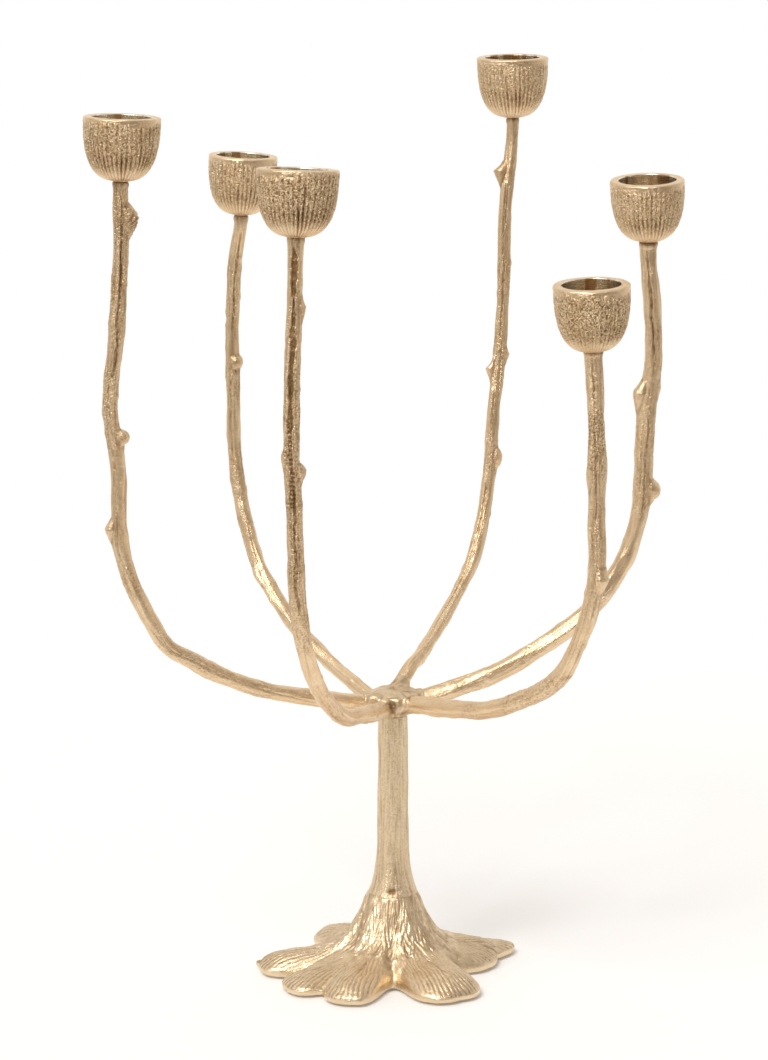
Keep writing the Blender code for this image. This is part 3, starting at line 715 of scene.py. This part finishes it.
def arm_skin(path, lengths, spokes, radius, arm, seed):
    """An arm's radius at every point, how much painted shade it gets there for lying in a crease, and how
    sandy it is there.
    """
    angles = turns(ARM_SIDES)[None, :]
    spots = round_axis(ARM_ROUND, angles, lengths[:, None])
    line = spots * (0, 0, 1)
    drift = 2.2 * noise(line, 40, seed) + 0.8 * noise(line, 13, seed + 1)
    facets = 0.10 * (0.5 - np.abs(np.cos(1.5 * angles + drift)))
    facets = facets + 0.06 * (0.5 - np.abs(np.cos(2.5 * angles - drift)))
    wobble = 0.10 * noise(spots * (0.35, 0.35, 1), 12, seed + 2)
    wobble = wobble + 0.045 * noise(spots * (0.6, 0.6, 1), 5, seed + 3)
    skin = radius * (1.01 + facets + wobble)
    strands = noise(spots * (1, 1, 0.07), 0.8, seed + 4)
    ridges = clamp(np.abs(noise(spots * (1, 1, 0.07), 1.7, seed + 5)) * 3) - 0.6
    patch = smoothstep(-0.25, 0.25, noise(spots * (0.5, 0.5, 1), 14, seed + 6))
    grit = noise(spots, 0.85, seed + 7)
    fine = noise(spots, 0.55, seed + 9)
    pits = clamp(noise(spots * (1, 1, 0.45), 0.9, seed + 8) - 0.4) * patch
    calm = 0.55 + 0.45 * smoothstep(130, 200, path[:, 2])[:, None]
    skin += calm * (0.18 * strands + 0.20 * ridges) - 0.3 * pits
    skin += (0.02 + 0.07 * patch) * grit + (0.01 + 0.05 * patch) * fine
    skin += arm_knots(lengths, turns(ARM_SIDES), seed)
    # Painted shade down in the bark's ridges, strands and pits, and in the low spots of the fine grit in the
    # patches.
    crease_shade = calm * (0.5 * clamp(-ridges - 0.1) + 0.45 * clamp(-strands)) + 0.7 * pits
    crease_shade += (0.3 + 0.5 * max(0, arm["grain"] - 0.8)) * patch * clamp(-fine)
    upper = smoothstep(130, 230, path[:, 2])[:, None]
    sandy = 0.10 + arm["grain"] ** 2 * (0.06 + 0.32 * upper) * (0.35 + 0.65 * patch)
    for bud in arm["buds"]:
        lift, dark, dome = arm_bud(bud, path, lengths, spokes, radius)
        skin += lift + dome * (0.15 * noise(spots, 1.7, seed + 10) - 0.08 * np.abs(strands))
        # Painted shade: less on the bud's dome, a ring of it round the bud's edge, and the shade between its
        # ribs.
        crease_shade = crease_shade * (1 - 0.4 * dome) + dark + 0.4 * bell(dome - 0.12, 0.1) * (dome > 0)
        sandy = sandy * (1 - 0.3 * dome)
    for i, groove in enumerate(arm["grooves"]):
        depth = arm_groove(groove, path, spokes, radius, spots, seed + 20 + 5 * i)
        skin -= depth
        # Painted shade in the split.
        crease_shade += 1.4 * smoothstep(0.12, 1.1, depth)
    to_top = (lengths[-1] - lengths)[:, None]
    skin += 0.35 * bell(to_top - 1.6, 1.4) - 0.3 * bell(to_top - 0.3, 0.4)
    # Painted shade at the arm's top end, under the cup's underside, patchy a little lower down.
    cup_shade_patches = 1 + noise(spots, 2.5, seed + 11)
    crease_shade += 1.2 * bell(to_top - 0.2, 0.7) + 0.25 * bell(to_top - 1.2, 1.6) * cup_shade_patches
    return skin, crease_shade, sandy


def make_arm(side, arm, cast, seed):
    path = spread(arm_controls(arm), ARM_STEP)
    lengths = lengths_along(path)
    across, out = arm_frame(path, arm["azimuth"])
    angles = turns(ARM_SIDES)[None, :, None]
    spokes = out[:, None] * np.cos(angles) + across[:, None] * np.sin(angles)
    thick, thin = arm["radii"]
    radius = (thick + (thin - thick) * lengths / lengths[-1])[:, None]
    skin, crease_shade, sandy = arm_skin(path, lengths, spokes, radius, arm, seed)
    points = path[:, None] + spokes * skin[..., None]
    faces = ring_faces(len(path), ARM_SIDES)
    last = (len(path) - 1) * ARM_SIDES
    faces += [list(range(ARM_SIDES)), [last + i for i in range(ARM_SIDES)]]
    piece = add_piece("twig_arm_" + side, points.reshape(-1, 3), faces, [cast], crease_shade, sandy)
    settle(piece, "arm_" + side)


# ---- Trunk ----

def make_trunk(cast):
    low = FOOT_TOP + 0.03
    high = TRUNK_TOP + GAP / 2
    heights = np.concatenate([[low], np.linspace(low + 0.04, high - 0.04, TRUNK_RINGS), [high]])
    angles = turns(TRUNK_SIDES)
    height, around = np.meshgrid(heights, angles, indexing="ij")
    radius = TRUNK_RADIUS + (FOOT_TOP_RADIUS - TRUNK_RADIUS) * np.exp((low - height) / TRUNK_FLARE)
    spots = round_axis(TRUNK_RADIUS, around, height)
    lean = spots + 0.5 * noise(spots * (0.4, 0.4, 1), 14, TRUNK_SEED + 1)[..., None] * (1, 1, 0)
    strands = noise(lean * (1, 1, 0.05), 0.6, TRUNK_SEED + 2)
    bark = clamp(np.abs(noise(lean * (1, 1, 0.06), 1.2, TRUNK_SEED + 3)) * 3.2) - 0.65
    gouges = clamp(noise(lean * (1, 1, 0.07), 0.95, TRUNK_SEED + 14) - 0.25)
    deep = 0.12 + 0.6 * smoothstep(40, 47, height) * (1 - smoothstep(47, 75, height))
    grit = noise(spots, 0.75, TRUNK_SEED + 5)
    lumps = 0.20 * noise(spots * (0.5, 0.5, 1), 12, TRUNK_SEED + 6)
    ring = noise(spots * (1, 1, 0), 3, TRUNK_SEED + 7)
    ends = smoothstep(0, 2, height - low)
    seam = 0.6 * bell(height - low, 0.5) * (0.6 + ring) + bell(height - high, 0.5)
    radius += lumps * ends + 0.21 * strands + 0.13 * bark
    radius += 0.05 * grit - 0.7 * gouges * deep * ends - 0.06 * seam
    radius += 0.4 * bell(height - low - 1.0, 1.0) * (0.35 + ring)
    # Painted shade in the bark's splits, gouges and strands, in the seams at both ends and in the low spots
    # of the grit.
    crease_shade = 0.35 * clamp(-bark - 0.2) + 0.9 * gouges * deep + 0.5 * clamp(-strands)
    crease_shade += 0.12 * seam + 0.2 * clamp(-grit)
    pit = bell(turn_apart(around, FRONT), PIT_WIDTH) * bell(height - low - PIT_HEIGHT, 1.3)
    radius -= 0.7 * pit
    # Painted shade in the pit.
    crease_shade += 1.2 * pit
    bore = [round_axis(ROD_HOLE_RADIUS, angles, z)[None] for z in (high, low)]
    points = np.concatenate([round_axis(radius, around, height), *bore])
    crease_shade = np.concatenate([crease_shade, np.zeros((2, TRUNK_SIDES))])
    piece = add_piece("bark_trunk", points.reshape(-1, 3), ring_faces(len(points), TRUNK_SIDES, closed=True),
                      [cast], crease_shade, 0.22)
    settle(piece, "trunk")


# ---- Hub ----

def add_cone(bm, start, end, start_radius, end_radius):
    """Add a closed cone to bm between two points."""
    span = Vector(end) - Vector(start)
    middle = (Vector(start) + Vector(end)) / 2
    turn = span.to_track_quat("Z", "Y").to_matrix().to_4x4()
    bmesh.ops.create_cone(bm, cap_ends=True, segments=40, radius1=start_radius, radius2=end_radius,
                          depth=span.length, matrix=Matrix.Translation(middle) @ turn)


def add_lump(bm, place, size):
    matrix = Matrix.Translation(place) @ Matrix.Diagonal((*size, 1))
    bmesh.ops.create_uvsphere(bm, u_segments=32, v_segments=20, radius=1, matrix=matrix)


def hub_blank():
    """The hub's rough shapes: a flat-topped disc on a skirt, a root for each arm, and knuckles."""
    bm = bmesh.new()
    for shift, low, high, low_radius, high_radius in (
            (0, HUB_LOW, HUB_LOW + 3.6, TRUNK_RADIUS + 0.5, HUB_RADIUS - 0.6),
            (0, HUB_LOW + 3.0, HUB_TOP - 2.6, HUB_RADIUS - 0.9, HUB_RADIUS + 0.2),
            (HUB_SHIFT, HUB_TOP - 5.0, HUB_TOP - 1.6, HUB_RADIUS + 1.2, HUB_RADIUS + 0.8),
            (HUB_SHIFT, HUB_TOP - 1.8, HUB_TOP, HUB_RADIUS + 0.8, HUB_RADIUS - 2.4)):
        add_cone(bm, (shift, 0, low), (shift, 0, high), low_radius, high_radius)
    for arm in ARMS.values():
        heading = direction(arm["azimuth"])
        first, second = (heading * r + np.array((0, 0, h)) for r, h in arm["path"][:2])
        slope = unit(second - first)
        thick = arm["radii"][0]
        add_cone(bm, first - slope * 8, first + slope * 2.6, thick + 1.5, thick + 0.35)
    for azimuth, reach, height, size in HUB_LUMPS:
        add_lump(bm, direction(azimuth) * reach + np.array((0, 0, height)), size)
    return bm


def remeshed(bm, voxel, smoothing):
    """The union of bm's closed shapes as one even, softened skin: points, normals and faces."""
    mesh = bpy.data.meshes.new("blank")
    bm.to_mesh(mesh)
    bm.free()
    blank = add_object("blank", mesh)
    remesh = blank.modifiers.new("remesh", "REMESH")
    remesh.mode = "VOXEL"
    remesh.voxel_size = voxel
    soften = blank.modifiers.new("soften", "SMOOTH")
    soften.iterations = smoothing
    soften.factor = 0.6
    graph = bpy.context.evaluated_depsgraph_get()
    result = bpy.data.meshes.new_from_object(blank.evaluated_get(graph))
    bpy.data.objects.remove(blank, do_unlink=True)
    points, normals = (np.array([getattr(v, key) for v in result.vertices]) for key in ("co", "normal"))
    return points, normals, [list(face.vertices) for face in result.polygons]


def make_hub(cast):
    points, normals, faces = remeshed(hub_blank(), HUB_VOXEL, HUB_SOFTENING)
    around = np.arctan2(points[:, 1], points[:, 0])
    reach = np.linalg.norm(points[:, :2], axis=1)
    fan = round_axis(9, around, reach * 0.12 + points[:, 2] * 0.12)
    strands = noise(fan, 1.0, HUB_SEED + 1)
    cracks = clamp(0.16 - np.abs(noise(fan * (1, 1, 1.6), 3.4, HUB_SEED + 2))) / 0.16
    sides = 1 - np.abs(normals[:, 2]) * 0.4
    rumple = noise(points, 3.2, HUB_SEED + 3)
    fissures = clamp(noise(points * (0.5, 1.3, 1), 2.1, HUB_SEED + 4) - 0.3)
    fissures = fissures * smoothstep(0.5, 0.9, normals[:, 2])
    grit = noise(points, 0.8, HUB_SEED + 5)
    crotch = bell(turn_apart(around, FRONT), 8)
    crotch *= smoothstep(114.5, 116.5, points[:, 2]) * (1 - smoothstep(120.5, 122.5, points[:, 2]))
    top = smoothstep(0.7, 0.95, normals[:, 2])
    rumple *= 1 - 0.5 * top
    knuckle = direction(HUB_LUMPS[0][0]) * HUB_LUMPS[0][1] + direction(262) * 3.4 + (0, 0, HUB_LUMPS[0][2])
    dimple = bell(np.linalg.norm((points - knuckle) * (0.8, 0.8, 1.2), axis=1), 1.9)
    lift = 0.09 * strands * sides - 0.12 * cracks + 0.12 * rumple - 0.4 * fissures
    lift += 0.04 * grit - 1.3 * crotch - 0.7 * dimple
    # Painted shade in the cracks, the fissures, the front crotch and the knuckle's dimple, and a little over
    # the whole hub.
    crease_shade = 0.45 * cracks + 0.9 * fissures + 1.0 * crotch + 0.2 * clamp(-rumple)
    crease_shade += 0.3 * clamp(-strands) * sides + 0.25 * dimple + 0.10
    piece = add_piece("bark_hub", points + normals * lift[:, None], faces, [cast], crease_shade, 0.10)
    settle(piece, "hub")


# ---- Foot ----

def toe_half_width(along, reach, half_width, tip_share, point):
    """Half the toe's width at a distance along it: a narrow neck, a full middle and a rounded tip."""
    tip = reach * tip_share
    neck = half_width * (NECK_SHARE + (1 - NECK_SHARE) * np.clip(along, 0, None) / tip)
    end = half_width * np.clip(1 - ((along - tip) / (reach - tip)) ** 2, 0, None) ** point
    return np.where(along <= tip, neck, end)


def evened(values, rounds, axis=-1):
    """Values averaged with their neighbours, again and again; the last axis closes on itself."""
    for _ in range(rounds):
        if axis == -1:
            values = (np.roll(values, 1, axis=-1) + 2 * values + np.roll(values, -1, axis=-1)) / 4
        else:
            values[1:-1] = (values[:-2] + 2 * values[1:-1] + values[2:]) / 4
    return values


def foot_reach(angles):
    """The foot's outline: the farthest point of any toe in each direction."""
    radii = np.arange(FOOT_NOTCH_RADIUS, 60, 0.1)
    best = np.full(len(angles), FOOT_NOTCH_RADIUS)
    for azimuth, reach, half_width, _, tip_share, point in TOES.values():
        turn = angles - math.radians(azimuth)
        along = np.cos(turn)[:, None] * radii
        across = np.abs(np.sin(turn)[:, None] * radii)
        half = toe_half_width(along, reach, half_width, tip_share, point)
        inside = (along > 0) & (across <= half) & (radii <= reach)
        best = np.maximum(best, np.where(inside, radii, 0).max(axis=1))
    outline = evened(best, 24)
    inner = 1 - smoothstep(27, 40, outline)
    outline = outline + inner * (evened(best, 160) - outline)
    return outline + CURL_REACH * bell(turn_apart(angles, CURL_AZIMUTH), CURL_WIDTH)


def toe_veins(along, across, half, reach, seed):
    """Ridges like a feather's barbs that leave a toe's middle line and run to its edge, and that line."""
    spots = np.stack([along, across, np.zeros_like(along)], axis=-1)
    sway = 0.8 * noise(spots, 9, seed) + 0.35 * noise(spots, 3, seed + 1)
    out = clamp(along / reach)
    opening = np.radians(16 + 8 * out)
    barb = np.abs(across) * np.cos(opening) - 0.45 * along * np.sin(opening) + sway
    groove = 1 - np.abs(np.sin(barb * math.pi / (1.3 + 0.7 * out ** 3))) ** 0.8
    finer = 1 - np.abs(np.sin(barb * math.pi / 0.8 + sway)) ** 0.8
    side = np.abs(across) / np.maximum(half, 0.5)
    groove = groove * smoothstep(1.02, 0.85, side)
    spine = bell(across + 0.6 * sway, 0.6) * smoothstep(0.95, 0.7, out)
    return (0.7 + 1.2 * out ** 3) * groove + 0.25 * finer, spine


def foot_relief(angles, radii):
    """The casting's top at each point, its veins, how much of it is toe, and the cracks between toes."""
    height = FOOT_TOP * np.exp((FOOT_TOP_RADIUS - radii) / FLARE_FALL)
    groove = np.zeros_like(radii)
    on_toe = np.zeros_like(radii)
    between = np.zeros_like(radii)
    for i, (azimuth, reach, half_width, top, tip_share, point) in enumerate(TOES.values()):
        turn = angles - math.radians(azimuth)
        along = radii * np.cos(turn)
        across = radii * np.sin(turn)
        half = toe_half_width(along, reach, half_width, tip_share, point)
        inside = (along > 0) & (half > np.abs(across))
        middle = 0.55 * reach
        fall = clamp((along - middle) / (reach - middle)) ** 3
        ridge = (top - FOOT_RIM) * np.sqrt(1 - fall)
        dome = FOOT_RIM + ridge * np.clip(1 - (across / np.maximum(half, 0.01)) ** 2, 0, None) ** 0.62
        overlap = np.clip(1 - np.abs(height - dome) / FOOT_BLEND, 0, None)
        joined = np.maximum(height, dome) + overlap ** 2 * FOOT_BLEND / 4
        veins, spine = toe_veins(along, across, half, reach, VEIN_SEED + 7 * i)
        wins = inside * smoothstep(-1.5, 1.0, dome - height)
        groove = groove * (1 - wins) + wins * (veins * 0.9 + spine * 0.6)
        between = between * (1 - wins) + wins * bell(dome - height, 0.9) * smoothstep(30, 40, radii)
        on_toe = np.maximum(on_toe, wins)
        height = np.where(inside, joined, height)
    return height, groove, on_toe, between


def leaf_scales(angles, radii):
    """Pointed leaves that overlap up the flare: how proud each point stands, and the creases round them."""
    climb = np.log(np.maximum(radii, FOOT_TOP_RADIUS) / FOOT_TOP_RADIUS) / math.log(30 / FOOT_TOP_RADIUS)
    lift = np.zeros_like(radii)
    crease = np.zeros_like(radii)
    spots = round_axis(4, angles, climb * 4)
    for row, (start, length, count) in enumerate(LEAF_ROWS):
        phase = count * angles / math.tau + 0.5 * row + 0.45 * noise(spots, 3, LEAF_SEED + 1 + row)
        beside = np.abs(phase - np.round(phase)) * 2
        middle = round_axis(9, math.tau * np.round(phase) / count, 0.0)
        leaf = noise(middle, 2, LEAF_SEED + 5 + row)
        up = clamp((climb - start - 0.08 * leaf) / length)
        width = 0.95 * np.sin(math.pi * up ** 0.8) ** 0.8 + 0.001
        inside = clamp(1 - beside / width) * (up > 0) * (up < 1)
        barbs = np.cos(math.tau * (2.4 * beside - 3.0 * up)) * smoothstep(0.04, 0.2, inside)
        proud = (0.65 + 0.35 * leaf) * inside ** 0.7 * smoothstep(0, 0.25, up) + 0.22 * barbs
        lift = np.maximum(lift, proud)
        crease = np.maximum(crease, bell(inside, 0.08) * (up > 0.02) * (up < 0.98) * 0.5)
    return lift, crease


def make_foot(cast):
    angles = turns(FOOT_SIDES)
    outline = foot_reach(angles)
    circle = round_axis(50, angles, 0.0)
    wander = 0.9 * noise(circle, 8, LEAF_SEED + 21) + 0.4 * noise(circle, 3, LEAF_SEED + 22)
    outline += wander * smoothstep(22, 34, outline)
    share = np.linspace(0, 1, FOOT_RINGS) ** 0.9
    radii = FOOT_TOP_RADIUS + (outline[None, :] - FOOT_TOP_RADIUS) * share[:, None]
    around = angles[None, :] + 0 * radii
    height, groove, on_toe, between = foot_relief(around, radii)
    inner = 1 - smoothstep(30, 46, radii)
    height = evened(evened(height, 90) * inner + evened(height, 16) * (1 - inner), 4, axis=0)
    edge = np.sqrt(np.clip(1 - share ** 10, 0, None))[:, None]
    lift, crease = leaf_scales(around, radii)
    upper = 1 - 0.75 * on_toe
    spots = round_axis(radii, around, height)
    fan = round_axis(12, around, radii * 0.10) + 0.8 * noise(spots, 7, LEAF_SEED + 11)[..., None]
    strands = noise(fan, 0.62, LEAF_SEED + 12) + 0.5 * noise(fan * (1, 1, 2), 1.4, LEAF_SEED + 15)
    grit = noise(spots, 0.9, LEAF_SEED + 13)
    detail = upper * (0.70 * lift - 0.30 * crease + 0.24 * strands) - on_toe * 0.62 * groove - 0.4 * between
    detail += 0.06 * grit + 0.35 * noise(spots, 6, LEAF_SEED + 14) + on_toe * 0.10 * strands
    fade = smoothstep(0, 0.03, share)[:, None] * smoothstep(1.0, 0.94, share)[:, None]
    slope = np.gradient(height, axis=0) / np.gradient(radii, axis=0)
    steep = np.sqrt(1 + slope ** 2)
    radii = radii - slope / steep * detail * fade * (1 - on_toe)
    height = FOOT_RIM + (height + detail * fade / (on_toe + (1 - on_toe) * steep) - FOOT_RIM) * edge
    # Painted shade in the creases round the leaves, in the veins, between toes, in the low spots of the grit
    # and at the seam with the trunk.
    crease_shade = upper * (0.5 * crease + 0.4 * clamp(-strands))
    crease_shade += on_toe * 0.7 * clamp(groove - 0.35) + 0.3 * clamp(-grit) + 0.4 * between
    crease_shade += 0.12 * bell(share, 0.012)[:, None]
    bead = 0.3 + noise(spots * (1, 1, 0), 3, LEAF_SEED + 16)
    radii = radii + 0.45 * bell(share - 0.02, 0.015)[:, None] * bead
    insets = ((-0.10, 3.1), (-0.12, 2.5), (0.0, 1.8), (0.3, 1.35), (0.8, FOOT_LOW))
    edges = [(outline - inset, z) for inset, z in insets]
    edges += [(outline + (RECESS_RADIUS - outline) * part, FOOT_LOW) for part in (0.25, 0.5, 0.75)]
    edges += [(RECESS_RADIUS + 0.4, FOOT_LOW), (RECESS_RADIUS, FOOT_LOW + 0.4), (RECESS_RADIUS, 8.0),
              (RECESS_RADIUS, RECESS_TOP - 0.8), (RECESS_RADIUS - 0.8, RECESS_TOP),
              (ROD_HOLE_RADIUS, RECESS_TOP), (ROD_HOLE_RADIUS, FOOT_TOP)]
    below = [round_axis(radius, angles, z)[None] for radius, z in edges]
    points = np.concatenate([round_axis(radii, around, height), *below])
    crease_shade = np.concatenate([crease_shade, np.zeros((len(below), FOOT_SIDES))])
    piece = add_piece("root_foot", points.reshape(-1, 3), ring_faces(len(points), FOOT_SIDES, closed=True),
                      [cast], crease_shade, 0.12)
    settle(piece, "foot")


# ---- Hidden hardware ----

def dress_hardware():
    """Give the small CAD parts that keep their shape their real finishes."""
    metal = steel()
    cloth = felt()
    for name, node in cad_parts.items():
        kind = name.split("_")[0]
        if kind in ("screw", "tie", "spring"):
            node.material_slots[0].material = metal
        elif kind == "pad":
            node.material_slots[0].material = cloth


# ---- Studio ----

def make_camera():
    data = bpy.data.cameras.new("camera")
    data.lens = CAMERA_LENS
    data.sensor_width = 36.0
    data.sensor_fit = "AUTO"
    data.clip_end = 100
    camera = add_object("camera", data)
    camera.location = (Vector(CAMERA_PLACE) + AXIS) * MM
    camera.rotation_euler = (math.radians(90 - CAMERA_PITCH), 0, 0)
    bpy.context.scene.camera = camera


def make_floor():
    nodes = Nodes("white_floor")
    nodes.shader.inputs["Specular IOR Level"].default_value = 0.0
    colour = nodes.mix(nodes.noise(3.0, 2.0), (0.86,) * 3, (0.85,) * 3)
    nodes.shader.inputs["Emission Color"].default_value = (1, 1, 1, 1)
    nodes.shader.inputs["Emission Strength"].default_value = FLOOR_GLOW
    nodes.finish(colour, nodes.range(nodes.noise(40.0), 0, 1, 0.9, 1.0))
    mesh = bpy.data.meshes.new("floor")
    edge = round_axis(FLOOR_RADIUS, turns(96), 0)
    mesh.from_pydata(edge.tolist(), [], [list(range(len(edge)))])
    mesh.materials.append(nodes.material)
    floor = add_object("floor", mesh)


def add_background(tree, colour, strength=1.0):
    node = tree.nodes.new("ShaderNodeBackground")
    node.inputs["Color"].default_value = (*colour, 1)
    node.inputs["Strength"].default_value = strength
    return node


def make_world():
    """A white sweep behind, softboxes left and right and a dark room round the photographer.

    The camera itself sees the room plain white.
    """
    world = bpy.data.worlds.new("studio")
    world.use_nodes = True
    bpy.context.scene.world = world
    tree = world.node_tree
    tree.nodes.clear()
    new = tree.nodes.new
    join = tree.links.new
    place = new("ShaderNodeTexCoord").outputs["Generated"]
    glow = None
    for toward, start, full, strength in ROOM_GLOWS:
        dot = new("ShaderNodeVectorMath")
        dot.operation = "DOT_PRODUCT"
        dot.inputs[1].default_value = Vector(toward).normalized()
        join(place, dot.inputs[0])
        fall = new("ShaderNodeMapRange")
        fall.interpolation_type = "SMOOTHSTEP"
        set_range(fall, start, full, 0, strength)
        join(dot.outputs["Value"], fall.inputs["Value"])
        if glow is None:
            glow = fall.outputs["Result"]
            continue
        total = new("ShaderNodeMath")
        total.operation = "ADD"
        join(fall.outputs["Result"], total.inputs[0])
        join(glow, total.inputs[1])
        glow = total.outputs["Value"]
    glows = add_background(tree, (1, 1, 1))
    join(glow, glows.inputs["Strength"])
    dark = add_background(tree, ROOM_DARK_COLOUR, ROOM_DARK)
    room = new("ShaderNodeAddShader")
    join(glows.outputs[0], room.inputs[0])
    join(dark.outputs[0], room.inputs[1])
    seen = add_background(tree, (1, 1, 1))
    path = new("ShaderNodeLightPath")
    pick = new("ShaderNodeMixShader")
    join(path.outputs["Is Camera Ray"], pick.inputs[0])
    join(room.outputs[0], pick.inputs[1])
    join(seen.outputs[0], pick.inputs[2])
    out = new("ShaderNodeOutputWorld")
    join(pick.outputs[0], out.inputs["Surface"])


def make_key_light():
    data = bpy.data.lights.new("key", "SUN")
    data.energy = KEY_STRENGTH
    data.angle = math.radians(KEY_SPREAD)
    rise = math.radians(KEY_ELEVATION)
    to_sun = Vector(direction(KEY_AZIMUTH) * math.cos(rise) + (0, 0, math.sin(rise)))
    add_object("key", data).rotation_euler = to_sun.to_track_quat("Z", "Y").to_euler()


# ---- Everything ----

make_camera()
make_floor()
make_world()
make_key_light()
bpy.context.scene.view_settings.view_transform = "Standard"
root_gold = cast_metal("gold_root", *ROOT_GOLD)
twig_gold = cast_metal("gold_twig", *TWIG_GOLD)
bore_gold = turned_metal()
make_foot(root_gold)
make_trunk(root_gold)
make_hub(root_gold)
for number, (arm_side, arm_design) in enumerate(ARMS.items()):
    make_arm(arm_side, arm_design, twig_gold, ARM_SEED + 40 * number)
    make_cup(arm_side, arm_design, twig_gold, bore_gold, CUP_SEED + 20 * number)
dress_hardware()
